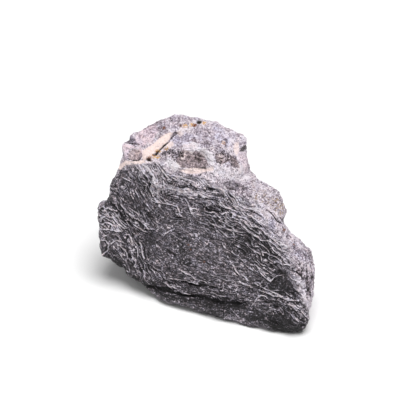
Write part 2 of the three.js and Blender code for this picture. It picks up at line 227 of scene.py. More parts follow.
def blob(c, r, wide, high, wave=0.6):
    """1 in the middle of an ellipse on the display grid, 0 outside it."""
    pc, pr = col + wave * wave_u / GRID, row + wave * wave_v / GRID
    return front * (1 - smooth(np.hypot((pc - c) / wide, (pr - r) / high), 0.55, 1.15))


def patch(points, soft, wave, where_seen=front):
    """1 inside an outline on the display grid, 0 outside it."""
    pu, pv = u + wave * wave_u, v + wave * wave_v
    path = path_mm([*points, *points[:2]])
    where = close_to(pu, pv, path, 2)
    pu, pv = pu[where], pv[where]
    inside = np.zeros(len(where), bool)
    for (au, av), (bu, bv) in zip(path[:-1], path[1:]):
        if av != bv:
            inside ^= ((av > pv) != (bv > pv)) & (pu < (bu - au) * (pv - av) / (bv - av) + au)
    far = to_path(pu, pv, path)[0]
    out = np.zeros(count)
    out[where] = smooth(np.where(inside, far, -far), -soft, soft)
    return out * where_seen


def most(*masks):
    """The largest of several masks at each point."""
    return np.maximum.reduce(masks)


def masked(*parts):
    """Several outlines as one mask: strength, softness, waviness and points."""
    return most(*(strength * patch(points, soft, wave) for strength, soft, wave, points in parts))


def dotted(wave, *parts):
    """Several ellipses as one mask: strength, column, row, half width and half height."""
    return most(*(strength * blob(*where, wave) for strength, *where in parts))


TURNS = (  # where the folds turn: u, v, half width, half height, their slope there
    (-27, 50, 8, 12, -66),
    (40, -11, 9, 8, -50),
    (45, 8, 6, 16, -80),
    (-5, 48, 18, 6, -9),
)


def flow_angle(pu, pv):
    """Which way the shear folds run at a place on the display side."""
    left = smooth(-pu, 16, 32)
    angle = -20 - 36 * left - 16 * smooth(pu, 2, 26)
    foot = smooth(-pv, -12, 2) * (1 - left)
    angle = angle + foot * (-13 - angle)
    for cu, cv, wide, high, slope in TURNS:
        near = 1 - smooth(np.hypot((pu - cu) / wide, (pv - cv) / high), 0.4, 1.2)
        angle = angle + near * (slope - angle)
    swirl = 26 * noise(pu / 8, pv / 8, 0.5, 15) + 15 * noise(pu / 2.8, pv / 2.8, 2.5, 16)
    return np.radians(angle + swirl)


# four steps of a millimetre each way along the flow from every point
track = [(0, u, v)]
for sign in (1, -1):
    pu, pv = u, v
    for step in range(1, 5):
        angle = flow_angle(pu, pv)
        pu, pv = pu + sign * np.cos(angle), pv + sign * np.sin(angle)
        track.append((step, pu, pv))


def folds(width, reach, seed):
    """Noise drawn out along the flow, with a spread of 1."""
    total = 0
    for step, pu, pv in track:
        if step <= reach:
            weight = math.cos(step / (reach + 1) * math.pi / 2)
            total = total + weight * noise(pu / width, pv / width, w / width / 2, seed)
    return total / total.std()


streak = folds(0.8, 4, 91)

# ---- Which part is galena and which is gangue ----

BOUNDARY = [  # the lower edge of the pale cap on the display side
    100,186, 112,178, 118,171, 126,165, 140,164, 155,163, 163,168, 172,174, 190,176, 205,180, 222,188,
    238,196, 255,204, 263,212, 268,224, 276,233, 285,243, 290,255, 294,268, 298,282, 301,296, 307,308,
    314,318,
]
SHOULDER = [  # the lower edge of the grey shoulder under the cap
    146,162, 157,186, 175,193, 190,199, 215,206, 240,217, 256,225, 268,236, 285,258, 292,270,
]
far, side, _ = line(BOUNDARY, 0.9)
far_off = np.where(row < 190 + (col - 150) * 0.6, 9.0, -9.0)
pale_front = np.where(far < FAR, far * side, far_off)
depth = 0.4266 * (x - 45) + 0.8373 * (y + 40) - 0.342 * z  # behind the plane of the dark face
limit = 2.5 + 15 * smooth(-x, -20, 40) * smooth(55 - z, 0, 45)
ragged = 1.5 * noise(x / 7, y / 7, z / 7, 21) + 0.7 * noise(x / 2.2, y / 2.2, z / 2.2, 22)
bed = z + 0.12 * x + 0.10 * y  # height across the layering
lens = noise(x / 17, y / 17, bed / 5, 23) + 0.45 * noise(x / 7, y / 7, bed / 2, 24)
pale_behind = np.minimum(depth - limit + 4 * ragged, 9 * (0.3 - lens))
pale = front * (pale_front + 0.5 * streak) + (1 - front) * pale_behind + 0.7 * ragged
gangue = smooth(pale, -0.9, 0.9)
galena = 1 - gangue

far, side, _ = line(SHOULDER, 0.9)
above = np.where(far < FAR, far * side, -9.0) + 0.8 * ragged + 0.8 * streak
# painted light: the crest of the buttress, the shelf, the top of a lobe and a strip low on the left flank
# face up and are painted paler
painted_light_on_ledges = masked(
    (1, 1.5, 0.7, [138,164, 150,163, 158,172, 163,186, 158,200, 152,190, 147,178, 139,171]),
    (0.5, 1.5, 0.7, [98,214, 108,206, 120,222, 126,236, 112,236, 101,228]),
    (1, 0.5, 0.5, [159,189, 166,187, 176,188, 188,190, 200,191, 212,193, 222,198, 212,199, 198,199, 188,198,
        178,195, 168,191]),
    (0.6, 1.2, 0.7, [126,240, 134,236, 140,252, 140,268, 132,266]),
)
# the grey shoulder under the cap, together with that painted light on the ledges
shoulder = galena * most(front * smooth(above, -3.2, 2.2), painted_light_on_ledges)

# ---- Relief ----

# height and half width in millimetres before the factors below, and their lines on the grid
RIDGES = {
    (0.35, 0.9): [[143,165, 149,169, 153,176, 156,183, 158,190, 157,198]],
    (0.4, 0.55): [[151,160, 158,165, 163,172, 168,178]], (0.25, 0.6): [[168,175, 177,177, 187,180, 196,184]],
    (0.3, 0.45): [[184,198, 188,204, 191,210, 194,216]], (0.4, 0.6): [[195,213, 201,215]],
    (0.5, 0.55): [[119,203, 122,208, 125,213, 130,216, 134,219, 139,221, 143,224, 147,228, 154,229]],
    (0.4, 0.7): [[110,214, 113,219, 117,224, 122,227, 126,229]],
    (0.25, 0.5): [[163,236, 165,233, 168,231, 172,230]], (0.45, 0.4): [[289,304, 295,308, 297,312]],
    (0.5, 0.45): [[243,226, 247,230, 250,233, 254,235, 258,237, 260,240, 264,240, 269,240, 272,243,
        276,247]],
    (0.5, 0.8): [[221,215, 225,213]], (0.5, 1.1): [[139,149, 151,140, 166,130]],
    (0.4, 0.9): [[124,147, 130,149, 140,149]],
    (0.4, 0.5): [[160,189.5, 165,187.5, 171,188, 179,190, 187,192.5],
        [106,208, 111,210, 114,214, 117,218, 119,221], [210,210, 215,214, 219,217, 222,219],
        [200,150, 205,153, 208,158, 214,162]],
    (0.3, 0.35): [[194,177, 199,182, 204,188], [198,178, 203,183, 208,189], [203,180, 207,184, 212,189],
        [142,170, 149,180, 154,189, 159,197], [146,168, 152,177, 157,186],
        [226,213, 233,214, 240,218, 246,219], [232,215, 238,217, 243,222],
        [246,214, 252,217, 258,222, 263,228], [218,221, 225,223, 232,227]],
    (0.35, 0.4): [[138,172, 145,181, 151,191, 156,200], [212,188, 219,189, 224,192],
        [130,209, 134,212, 138,215], [140,219, 144,223, 149,225], [256,298, 260,295, 265,296, 268,299],
        [250,253, 255,252, 258,253, 260,256, 261,261], [260,252, 266,252, 270,255, 275,256, 280,260],
        [213,222, 217,226, 222,228], [230,222, 234,225, 238,225], [248,232, 251,236, 253,239, 256,241]],
    (0.3, 0.3): [[222,191, 226,196, 229,202], [225,191, 230,197, 233,203], [229,191, 234,197, 237,203],
        [233,193, 237,198, 241,204], [237,196, 241,200, 244,204]],
    (0.35, 0.35): [[225,217, 221,219, 217,222], [285,309, 290,313, 294,318], [292,314, 296,318, 299,322]],
    (0.35, 0.5): [[163,180, 164,188], [189,207, 197,209], [100,219, 106,216, 110,218],
        [101,229, 108,229, 115,231, 121,231], [180,270, 185,274, 190,275, 197,279],
        [219,199, 223,204, 228,208, 233,211]],
    (0.5, 0.5): [[150,198, 155,201, 160,203, 166,204, 172,205, 177,207, 179,210, 180,214, 183,217],
        [260,272, 264,276, 267,279, 270,281, 273,278, 277,275, 282,275],
        [255,282, 260,286, 264,288, 269,290, 273,292, 277,294, 281,296, 286,296],
        [286,302, 291,304, 295,306, 300,309]],
    (0.3, 0.4): [[120,177, 126,179, 131,182], [140,190, 143,196, 146,202], [146,194, 150,199, 153,204],
        [149,180, 152,186, 154,192], [143,178, 147,184], [146,204, 150,209], [101,238, 104,236, 107,235],
        [110,254, 114,256, 118,258], [143,262, 146,264, 149,263], [148,268, 152,270, 156,275],
        [250,265, 256,265, 258,268, 260,272], [261,270, 265,273, 270,274], [256,297, 254,302, 251,307],
        [270,309, 275,309], [240,260, 243,262, 247,261], [244,264, 248,268, 253,270],
        [262,261, 266,264, 269,265], [231,251, 234,254, 237,256], [236,226, 241,229],
        [254,225, 258,228, 262,229], [215,228, 217,232, 217,237], [233,232, 235,237], [222,244, 225,249],
        [230,309, 234,312, 237,316]],
    (0.25, 0.4): [[130,190, 131,197], [135,191, 138,197]],
    (0.45, 0.45): [[134,224, 139,228, 143,231, 147,232], [138,240, 140,245, 141,250, 143,255, 145,258],
        [231,264, 235,270, 238,273, 241,276], [269,262, 273,263, 277,261, 281,263, 286,264, 290,264]],
    (0.35, 0.6): [[100,226, 104,222, 109,223, 112,227], [168,279, 180,280, 190,282, 198,283]],
    (0.4, 0.45): [[100,240, 105,241, 107,245, 107,250, 104,254],
        [109,244, 113,241, 117,240, 121,241, 125,243], [125,235, 129,235, 131,239, 132,245],
        [241,274, 245,277, 248,279], [222,228, 230,230, 235,231, 239,232, 243,233],
        [219,229, 223,233, 227,237, 231,238], [268,243, 272,248, 277,253, 285,259]],
    (0.35, 0.45): [[116,244, 119,246, 122,249, 125,252, 126,258],
        [163,283, 168,286, 173,290, 178,291, 185,293, 192,294], [243,208, 250,209, 257,211],
        [272,211, 276,216, 281,222]],
    (0.45, 0.8): [[130,247, 132,252, 133,258, 134,263, 136,269], [176,168, 190,170, 204,168, 215,167]],
    (0.3, 0.5): [[136,246, 137,252, 137,258], [202,149, 212,148]],
    (0.45, 0.5): [[258,291, 263,291, 268,293, 273,295, 279,296, 285,299, 292,300, 298,300],
        [262,230, 265,233, 269,236, 273,239, 277,243, 281,247]],
    (0.4, 0.4): [[296,304, 301,307, 306,312], [299,309, 303,314, 306,318],
        [289,276, 294,278, 299,281, 301,285], [292,286, 297,290, 303,292]],
}
CRACKS = {  # depth and half width likewise
    (0.6, 0.45): [[206,188, 213,189, 219,192, 223,196]], (0.5, 0.5): [[200,206, 208,209, 216,211, 224,212]],
    (0.7, 0.5): [[178,281, 190,284, 200,285, 210,287, 218,288]],
    (0.7, 0.8): [[146,285, 158,289, 170,292, 182,295, 195,296, 206,298]],
    (0.5, 0.9): [[204,298, 215,301, 228,303, 243,303]], (0.5, 0.35): [[203,278, 208,281, 213,283]],
    (0.25, 0.3): [[124,144, 131,143.5, 139,144]], (0.3, 0.35): [[168,141, 173,135, 180,131]],
    (0.7, 0.3): [[266,210, 270,213, 275,219, 281,224]], (0.35, 0.35): [[223,309, 224,316]],
    (0.5, 0.4): [[160,167, 165,173, 171,179, 177,182], [222,192, 227,198, 232,203],
        [226,192, 231,196, 236,203], [248,211, 255,213, 260,216, 264,221],
        [302,263, 306,272, 305,283, 307,293], [309,262, 311,275, 309,288, 310,297],
        [296,262, 301,268, 303,274], [184,262, 190,264, 196,266], [220,144, 222,140, 226,139, 227,144],
        [108,200, 114,207, 119,213, 122,220]],
    (0.35, 0.4): [[166,191.5, 173,192.5, 180,195.5, 188,199, 198,200], [299,262, 301,270, 300,280]],
    (0.6, 0.5): [[198,197, 208,199, 214,199, 218,201], [160,288, 168,288, 175,290, 181,292]],
    (0.5, 0.45): [[213,204, 220,208, 227,209], [167,251, 172,254, 175,256], [183,264, 190,266, 196,268],
        [134,239, 137,244, 139,249]],
    (0.4, 0.4): [[230,208, 240,211, 250,213], [247,206, 253,207, 257,208], [246,162, 250,169, 254,175],
        [304,262, 307,272, 306,284, 308,294], [278,214, 282,220, 284,226]],
    (0.45, 0.35): [[291,269, 297,273, 302,279], [291,290, 298,293, 302,297]],
    (0.4, 0.35): [[295,283, 301,287], [222,137, 225,138, 226,142, 225,146],
        [126,158, 131,160, 137,160, 141,156], [258,181, 264,184], [171,134, 175,132, 179,134]],
}
# column, row, half width and half height in squares, millimetres out
SWELLS = (
    (118, 170, 7, 9, 1.4), (113, 185, 6, 10, 0.6), (102, 206, 5, 6, 1.4), (98, 217, 5, 8, 0.7),
    (101, 250, 7, 9, 1.6), (123, 144, 5, 8, 1.2), (104, 256, 6, 5, 1.2), (133, 276, 12, 10, 0.8),
    (147, 290, 8, 8, 1.2), (243, 137, 5, 5, 1), (178, 116, 9, 5, 1.1), (316, 284, 6, 11, -1.1),
    (286, 221, 4, 6, -1.2), (131, 135, 5, 5, 1.2), (253, 174, 4, 5, 0.9), (281, 190, 6, 5, 1.4),
    (160, 120, 24, 8, 0.5), (222, 126, 26, 8, 0.5), (294, 233, 5, 5, -0.6), (307, 245, 8, 5, -0.8),
    (304, 333, 5, 5, -1.2),
)
# where the folds are finely crinkled: strength, spacing in mm, slope in degrees, outline
CRINKLES = (
    (1, 2, -37, [212,197, 240,207, 262,222, 284,250, 292,268, 276,270, 250,256, 225,240, 208,226, 203,208]),
    (1, 1.6, -34, [99,208, 110,206, 124,214, 140,219, 158,229, 142,235, 120,232, 99,230]),
    (0.9, 1.6, -66, [120,237, 140,236, 150,262, 152,280, 136,272, 124,258]),
    (1, 1.5, -61, [133,166, 150,162, 164,176, 167,196, 160,205, 150,203, 138,184]),
    (0.9, 1.6, -22, [250,283, 264,282, 298,296, 306,312, 290,312, 262,298, 248,292]),
    (0.8, 1.6, -40, [246,258, 262,256, 288,272, 274,282, 254,272]),
    (0.35, 1.5, -9, [165,262, 200,261, 232,272, 240,292, 200,292, 165,283]),
    (1, 1.5, -14, [168,172, 200,177, 226,189, 230,200, 195,200, 166,197]),
)


def keep_nearest(record, near, side, strength):
    """Keeps the nearest line's distance in half widths, the same with a sign, and its strength."""
    closer = near < record[0]
    for kept, new in zip(record, (near, near * side, strength)):
        kept[closer] = new[closer]


CREST_HEIGHT, CREST_WIDTH = 1.35, 0.62  # times what RIDGES says
CRACK_DEPTH, CRACK_WIDTH = 0.9, 0.8  # times what CRACKS says

height = np.zeros(count)
nearest_crest = np.full(count, 9.0), np.full(count, 9.0), np.zeros(count)
nearest_crack = np.full(count, 9.0), np.full(count, 9.0), np.zeros(count)
broken = 0.6 + 0.4 * smooth(noise(u / 1.5, v / 1.5, 7.5, 66), -0.5, 0.15)
for (high, wide), lines in RIDGES.items():
    wide *= CREST_WIDTH
    for points in lines:
        far, side, end = line(points)
        taper = np.minimum(1, 0.3 + end / 2)
        crest = np.exp(-((far / wide) ** 2)) * taper * broken
        bank = np.where(side > 0, np.exp(-((far / (3.2 * wide)) ** 2)) * 0.45, 0)
        ditch = np.exp(-(((far - 1.9 * wide) / wide) ** 2)) * (side < 0) * taper
        height += front * CREST_HEIGHT * high * (most(crest, bank) - 0.4 * ditch)
        strength = np.minimum(1, 0.4 + end / 2) * min(1, high / 0.36) * broken
        keep_nearest(nearest_crest, far / min(wide, 0.28), side, strength)
for (deep, wide), lines in CRACKS.items():
    wide *= CRACK_WIDTH
    for points in lines:
        far, side, end = line(points, 0.35)
        taper = np.minimum(1, 0.25 + end / 2)
        height -= front * deep * CRACK_DEPTH * np.exp(-((far / wide) ** 2)) * taper
        strength = np.minimum(1, 0.4 + end / 2) * min(1, deep / 0.6)
        keep_nearest(nearest_crack, far / wide, side, strength)

# the crack through the cap
far, _, end = line([152,156, 157,152.5, 160,149, 163,145, 169,140.5], 0.4)
crack = front * (1 - smooth(far, 0.22, 0.55)) * smooth(end, 0, 1.8)
crack = most(crack, blob(147.5, 159, 2.8, 1.5, 0.3))

# broad swells and dents of the outline
edge_on = (1 - smooth(np.abs(facing), 0.35, 0.85)) * smooth(w, -30, -15)
for c, r, wide, high, push in SWELLS:
    height += push * edge_on * (1 - smooth(np.hypot((col - c) / wide, (row - r) / high), 0.3, 1.3))

# the shear folds that cover the galena, and where they are calm
calm = most(
    dotted(0.6, (1, 281, 282, 13, 17), (1, 150, 240, 9, 12), (0.7, 248, 244, 9, 8)),
    0.8 * blob(195, 250, 50, 28),
    0.8 * patch([152,290, 200,299, 246,304, 262,312, 268,332, 236,326, 200,314, 160,306], 1.5, 1.5),
)
broad, middling, thin = folds(4.2, 4, 31), folds(1.9, 4, 41), folds(0.95, 3, 51)
lively = galena * front * (1 - 0.85 * calm)
gate_mid = smooth(noise(u / 4.5, v / 3.5, 0.5, 61), -0.25, 0.3)
gate_thin = smooth(noise(u / 3, v / 2.5, 5.5, 62), -0.3, 0.3)
gate_scale = smooth(noise(u / 6, v / 4.5, 9.5, 63), -0.1, 0.35)
ridge_mid = np.maximum(0, 1 - np.abs(middling) / 0.5) * gate_mid
ridge_thin = np.maximum(0, 1 - np.abs(thin) / 0.55) * gate_thin
# scales that lie over each other, each with a sharp lower edge
scale_phase = (0.9 * v + 0.42 * u) / 3.1 + 0.5 * broad + 0.22 * middling
saw = scale_phase - np.floor(scale_phase)
scale = (1 - saw) ** 1.6 * smooth(saw, 0, 0.07) * gate_scale
height += galena * front * (0.3 * broad + 0.08 * thin)
height += lively * (0.5 * ridge_mid + 0.22 * ridge_thin + 0.55 * scale)

crinkled, crinkle_phase, crinkle_gate = np.zeros((3, count))
for strength, spacing, slope, points in CRINKLES:
    inside = strength * galena * patch(points, 1.2, 1.5)
    slope = math.radians(slope)
    c, s = math.cos(slope), math.sin(slope)
    along, over = u * c + v * s, v * c - u * s
    phase = (over + 0.55 * middling + 0.22 * thin) / spacing
    gate = smooth(noise(along / 4.5, over / 1.7, spacing, 65), -0.45, 0.0)
    crinkle_phase = np.where(inside > crinkled, phase, crinkle_phase)
    crinkle_gate = np.where(inside > crinkled, gate, crinkle_gate)
    crinkled = most(crinkled, inside)
crinkle_phase = crinkle_phase + 0.7 * noise(u / 6, v / 6, 0.5, 64)
crinkle_gate = crinkled * crinkle_gate
height += 0.3 * (1 - (crinkle_phase - np.floor(crinkle_phase))) * crinkle_gate
grain = noise(x / 0.7, y / 0.7, z / 0.7, 71)
height += galena * 0.06 * grain

# layered breaks away from the display side
layers = noise(x / 11, y / 11, bed / 2.4, 61) + 0.5 * noise(x / 6, y / 6, bed / 1.1, 62)
rolling = noise(x / 5, y / 5, z / 5, 63)
height += (1 - front) * (0.45 * layers + 0.2 * rolling)

# smoother parts of the cap
cream = masked(
    (1, 0.3, 0.4, [141,160, 142,150, 152,143, 160,137, 168,132, 172,132, 169,139, 163,145, 157,151, 150,156,
        145,160]),
    (0.9, 0.3, 0.4, [117,171, 119,166, 124,160, 131,161, 143,159, 146,163, 136,164, 126,165, 122,170]),
    (0.7, 0.3, 0.6, [165,147, 166,142, 172,141, 174,145, 169,149]),
    (0.8, 0.3, 0.6, [178,171, 190,168, 206,169, 212,167, 213,170, 200,173, 186,174]),
    (0.7, 0.3, 0.7, [233,144, 238,142, 239,152, 236,156, 233,150]),
    (0.5, 0.3, 0.7, [176,132, 180,130, 184,133, 180,137]),
)
brown = patch([126,155, 129,151, 135,149, 141,151, 141.5,156, 136,160, 129,159.5], 0.25, 0.3)
pink = masked(
    (1, 0.4, 0.7, [133,142, 136,134, 146,126, 155,124, 158,132, 152,141, 142,146]),
    (1, 0.3, 0.5, [123,146, 130,145, 142,147, 143,158, 138,148, 130,149, 126,153, 126,160, 123,158]),
    (0.7, 0.8, 0.7, [236,150, 245,152, 250,166, 246,174, 238,160]),
    (0.5, 0.8, 0.7, [182,144, 190,142, 196,148, 190,153, 184,150]),
)
quiet = front * smooth(row, 152, 142)

# the gangue breaks across its crystals
twist = [
    0.9 * noise(x / 4, y / 4, z / 4, seed) + 0.3 * noise(x / 1.5, y / 1.5, z / 1.5, seed)
    for seed in (77, 78, 79)
]
bent = [axis + 1.3 * t for axis, t in zip((x, y, z), twist)]
coarse, _ = hackle(*(axis / 7.5 for axis in bent), 80)
medium, crystal = hackle(*(axis / 3.1 for axis in bent), 81)
small, _ = hackle(*(axis / 1.3 for axis in bent), 82)
even = 1 - 0.65 * most(cream, brown, 0.5 * pink, 0.35 * quiet)
height += gangue * (1.5 * coarse + 1.3 * medium + 0.8 * small + 0.12 * grain) * even
behind = 1 - front
height += galena * ((0.5 + 0.9 * behind) * coarse + (0.35 + 0.4 * behind) * medium + 0.12 * small)
height += front * (0.06 * gangue + 0.16 * shoulder) * streak

hollow = masked(
    (1, 0.4, 0.7, [176,156, 182,150, 196,152, 203,156, 208,164, 206,169, 192,168, 180,168, 176,163]),
    (0.9, 0.3, 1.2, [216,154, 221,152, 228,154, 228,160, 221,164, 216,160]),
    (0.9, 0.3, 0.8, [229,155, 233,156, 239,165, 239,169, 234,166, 230,160]),
)
pit = most(blob(199, 121.5, 3.2, 2.4, 0.3), 0.5 * blob(180, 125.5, 1.3, 1.9, 0.2))
notch = masked(
    (1, 0.25, 0.2, [239,151, 242,147, 247,143, 247,148, 244,151]),
    (0.7, 0.3, 0.3, [281,221, 284,214, 286,214, 284,224]), (0.6, 0.3, 0.3, [293,243, 296,244, 294,248]),
)
height -= 0.9 * crack + 0.9 * pit + 0.5 * notch
height -= 0.45 * hollow * (0.6 + 0.9 * noise(u / 1.2, v / 1.2, 0.5, 92))

# nothing goes below the ground, and the flat underneath stays flat
resting = smooth(co[:, 2], 0.05, 1.2)
moved = co + normals * (height * resting)[:, None]
moved[:, 2] = np.maximum(moved[:, 2], 0)

# how far each point stands out of its surroundings, narrow and wide, for painted light on what stands out
# and painted shade in what sinks in
edges = np.empty(len(mesh.edges) * 2, np.int32)
mesh.edges.foreach_get("vertices", edges)
links = np.bincount(edges, minlength=count)
one, other = edges.reshape(-1, 2).T
blurred = moved.T
proud = []
for turn in range(1, 15):
    blurred = [
        (np.bincount(one, axis[other], count) + np.bincount(other, axis[one], count)) / links
        for axis in blurred
    ]
    if turn in (3, 14):
        out = ((moved - np.stack(blurred, 1)) * normals).sum(1)
        proud.append(out / np.percentile(np.abs(out), 90))

mesh.vertices.foreach_set("co", (moved / 1000).ravel())
mesh.update()

# ---- What the material reads ----

# where the display face is darker, partly darker galena and partly painted shade on faces that turn down or
# lie under overhangs: strength, column, row, half width, half height
DARKER_AND_SHADED_SPOTS = (
    (0.9, 281, 284, 15, 14), (0.7, 150, 240, 8, 10), (0.75, 190, 292, 42, 7), (0.8, 245, 312, 30, 12),
    (1, 285, 318, 22, 16), (0.8, 140, 282, 24, 7), (0.5, 120, 264, 18, 5), (0.5, 248, 244, 9, 7),
    (0.35, 138, 200, 14, 16), (0.2, 225, 262, 16, 20), (0.3, 176, 199, 14, 5), (0.5, 266, 246, 8, 6),
    (0.4, 252, 262, 7, 6), (0.4, 233, 226, 8, 5), (0.6, 212, 207, 11, 3.5), (0.5, 118, 232, 8, 5),
    (0.5, 113, 248, 6, 4), (0.4, 140, 225, 7, 5), (0.5, 262, 264, 5, 4), (0.4, 268, 268, 5, 3),
)
# painted shade: thin dark bands under the shelf: strength, softness, waviness, outline
SHADE_BANDS_UNDER_SHELF = (
    (0.55, 0.4, 0.5, [164,180, 172,180, 184,183, 196,187, 204,190, 198,191, 184,189, 172,187, 164,186]),
    (0.7, 0.4, 0.5, [168,191, 178,194, 187,198, 184,199, 174,196, 167,194]),
    (0.8, 0.4, 0.5, [205,187, 213,189, 222,194, 232,203, 228,204, 219,197, 210,192]),
)
# rust-coloured stains: column, row, half width
RUST = (
    (148, 158, 3.4), (162, 148, 1.2), (157, 151, 2), (153, 154, 1.6), (180, 125.5, 1.8), (194, 125, 3),
    (163, 128, 2), (284, 229, 2), (293, 244, 1.6), (224, 143, 1.8), (188, 245, 1.2), (190, 250, 1),
    (204, 262, 0.9),
)
OCHRE = (  # ochre stains: strength, column, row, half width, half height
    (1, 165.5, 148, 2.4, 1.8), (1, 154, 156, 6, 2.4), (1, 158, 151, 4, 2.4), (1, 184, 125, 3, 2.4),
    (1, 204, 123, 2.6, 2), (1, 223, 142, 1.8, 2), (1, 191, 124, 3, 2),
)
# how much paler or darker, half width in squares, and the strokes of that kind; partly the stone's own tone,
# partly painted shade along the underside edges and under the foot's overhang, and painted light on the
# shelf
TONES = {
    (0.2, 2.5): [[175,134, 176,135]], (0.3, 4): [[134,168, 150,170]], (0.34, 3): [[181,157, 185,153]],
    (0.5, 3): [[218,155, 223,158]], (0.45, 3): [[223,143, 229,140]], (-0.24, 5): [[150,128, 160,126]],
    (0.38, 4): [[242,168, 246,176]], (-0.4, 3.5): [[191,174, 198,174]],
    (-0.16, 4): [[206,169, 222,171, 238,174]], (0.15, 4): [[263,186, 268,194]],
    (-0.24, 4): [[163,176, 170,181]], (0.2, 3.5): [[176,178, 192,179]],
    (0.4, 2.6): [[160,188.5, 175,188.5, 190,192.5, 205,194]], (-0.15, 4): [[153,178, 156,188, 156,198]],
    (0.22, 2.6): [[216,190, 225,193]], (0.18, 4): [[230,209, 240,210]],
    (0.28, 4): [[261,211, 265,222, 272,229]], (0.2, 4): [[278,216, 283,221]],
    (-0.2, 6): [[268,188, 280,193]], (-0.45, 4): [[100,254, 110,260, 122,269]],
    (-0.25, 3.5): [[124,220, 129,224]], (0.16, 2.5): [[103,202, 107,201]], (0.24, 3): [[112,225, 119,227]],
    (-0.2, 4.5): [[133,250, 147,252]], (-0.35, 2.5): [[116,266, 128,274, 140,282, 156,291, 170,300]],
    (0.28, 3): [[164,225, 170,227]], (-0.28, 3.5): [[180,236, 183,250]], (-0.18, 3.5): [[192,282, 204,281]],
    (0.14, 5): [[226,270, 234,276, 229,285]], (0.1, 3.5): [[166,261, 178,266, 203,267]],
    (-0.12, 3): [[240,237, 244,237]], (-0.22, 2.5): [[270,270, 276,271]], (-0.2, 4): [[260,283, 286,290]],
    (-0.22, 3): [[289,294, 293,298]], (-0.35, 6): [[294,248, 306,252, 312,260]],
    (0.35, 3): [[304,266, 309,266]], (-0.2, 3.5): [[293,267, 299,270]], (-0.5, 3.5): [[302,276, 314,276]],
    (-0.5, 5): [[278,334, 300,332]], (-0.15, 3): [[218,284, 222,287]],
    (-0.35, 3.5): [[174,297, 182,300, 196,303]], (-0.3, 3.5): [[200,299, 222,303, 245,305]],
    (-0.3, 5): [[207,306, 218,309, 238,308]], (0.25, 4): [[222,316, 240,318]],
    (-0.13, 3): [[235,294, 253,295, 266,303]], (-0.4, 5): [[257,318, 275,323]],
    (-0.45, 5): [[275,328, 304,325]], (0.22, 3.5): [[290,305, 300,310]], (0.16, 4.5): [[232,301, 243,309]],
    (-0.16, 5): [[284,333, 298,334]],
    (0.2, 3): [[150,143, 156,141], [172,162, 175,165], [146,171, 156,174], [112,225, 116,228],
        [220,250, 226,253], [181,234, 186,236], [240,226, 246,232], [305,300, 309,305]],
    (0.25, 3): [[203,149, 206,148], [295,242, 300,246]],
    (0.14, 3): [[195,120, 198,121], [189,151, 204,152]],
    (0.1, 4): [[218,125, 223,131], [130,155, 144,147], [223,138, 226,148], [192,236, 204,240],
        [158,292, 172,301]],
    (-0.3, 3): [[231,162, 234,168], [165,152, 175,154], [236,246, 240,248], [250,221, 255,227],
        [216,313, 220,317]],
    (-0.35, 3): [[150,166, 154,166], [302,291, 312,288]],
    (-0.1, 4): [[200,130, 208,131], [178,166, 188,166], [116,182, 127,187], [126,212, 134,216],
        [140,246, 144,256], [158,272, 162,280], [156,218, 163,219]],
    (0.4, 3): [[150,158, 155,154], [215,190, 223,193], [179,191, 187,194]],
    (0.26, 3): [[162,148, 167,144], [110,242, 121,243]],
    (0.14, 4): [[181,163, 187,165], [128,202, 141,203]],
    (0.12, 4): [[203,134, 209,136], [236,162, 240,164], [210,198, 214,208]],
    (-0.12, 5): [[192,145, 213,145], [100,232, 118,234, 132,241], [270,312, 280,318]],
    (-0.12, 6): [[175,118, 190,118], [264,293, 278,308]],
    (-0.1, 5): [[234,136, 243,147], [114,182, 126,181], [152,217, 166,219]],
    (0.1, 3): [[158,120, 162,123], [190,139, 204,153], [226,222, 245,223], [289,320, 294,321]],
    (0.12, 3): [[174,119, 176,126], [160,202, 166,205], [212,291, 222,293]],
    (-0.14, 3.5): [[181,131, 188,128], [180,184, 195,187, 208,190, 222,196], [194,282, 200,283],
        [260,247, 276,251]],
    (0.15, 3): [[208,200, 214,201], [116,189, 121,193], [192,265, 198,268]],
    (-0.25, 4): [[240,188, 243,198], [212,297, 236,298]],
    (-0.2, 3): [[192,187, 196,190], [268,221, 273,228], [98,208, 98,230], [180,260, 188,261],
        [197,258, 206,261], [278,309, 282,311], [211,297, 220,299]],
    (0.16, 4): [[254,206, 266,218], [253,198, 257,205]],
    (0.3, 3.2): [[199,178, 210,180], [283,268, 291,278, 297,294]],
    (-0.2, 5): [[243,184, 249,190], [104,210, 118,213, 128,218, 142,217]],
    (-0.14, 3): [[214,196, 220,199], [210,220, 214,223], [270,270, 275,271], [298,279, 300,284]],
    (-0.12, 4): [[222,185, 234,181], [149,187, 153,193], [113,250, 124,256], [268,246, 280,251]],
    (-0.14, 4): [[233,195, 238,201], [126,240, 132,242], [128,226, 131,236], [138,258, 140,275],
        [205,218, 222,222], [216,243, 225,258, 232,246]],
    (-0.1, 6): [[126,204, 150,214], [174,272, 190,276]],
    (-0.22, 3.5): [[111,194, 118,205, 122,214], [101,254, 118,252]],
    (0.18, 3): [[226,277, 232,279], [288,275, 292,282]],
    (-0.18, 4): [[176,211, 184,224, 193,226], [238,250, 256,257, 270,254]],
    (0.12, 3.5): [[158,240, 162,241], [219,248, 223,252]],
    (-0.14, 5): [[154,256, 166,252], [294,314, 306,323]],
    (0.16, 3): [[190,267, 199,266], [282,246, 289,260]],
    (-0.25, 3): [[301,292, 305,295], [298,304, 302,307]],
}


def keep(name, values, low=0, high=1):
    """Puts a value for each point on the mesh, for the material to read."""
    data = mesh.attributes.new(name, "FLOAT", "POINT").data
    data.foreach_set("value", np.clip(values, low, high).astype(np.float32))


tone_shift = np.zeros(count)
for (amount, wide), strokes in TONES.items():
    for points in strokes:
        tone_shift += amount * np.exp(-((line(points, 1.2)[0] / (wide * GRID)) ** 2))
facet = patch([122,143, 127,137, 131,135, 137.5,143, 130,144], 0.25, 0.3, near_side)
smoothed = patch([221,184, 230,181, 240,184, 238,189, 226,189], 0.4, 0.7)
# painted shade: faces that turn down are made darker
painted_underside_shade = 0.9 * smooth(-normals[:, 2], -0.05, 0.5)

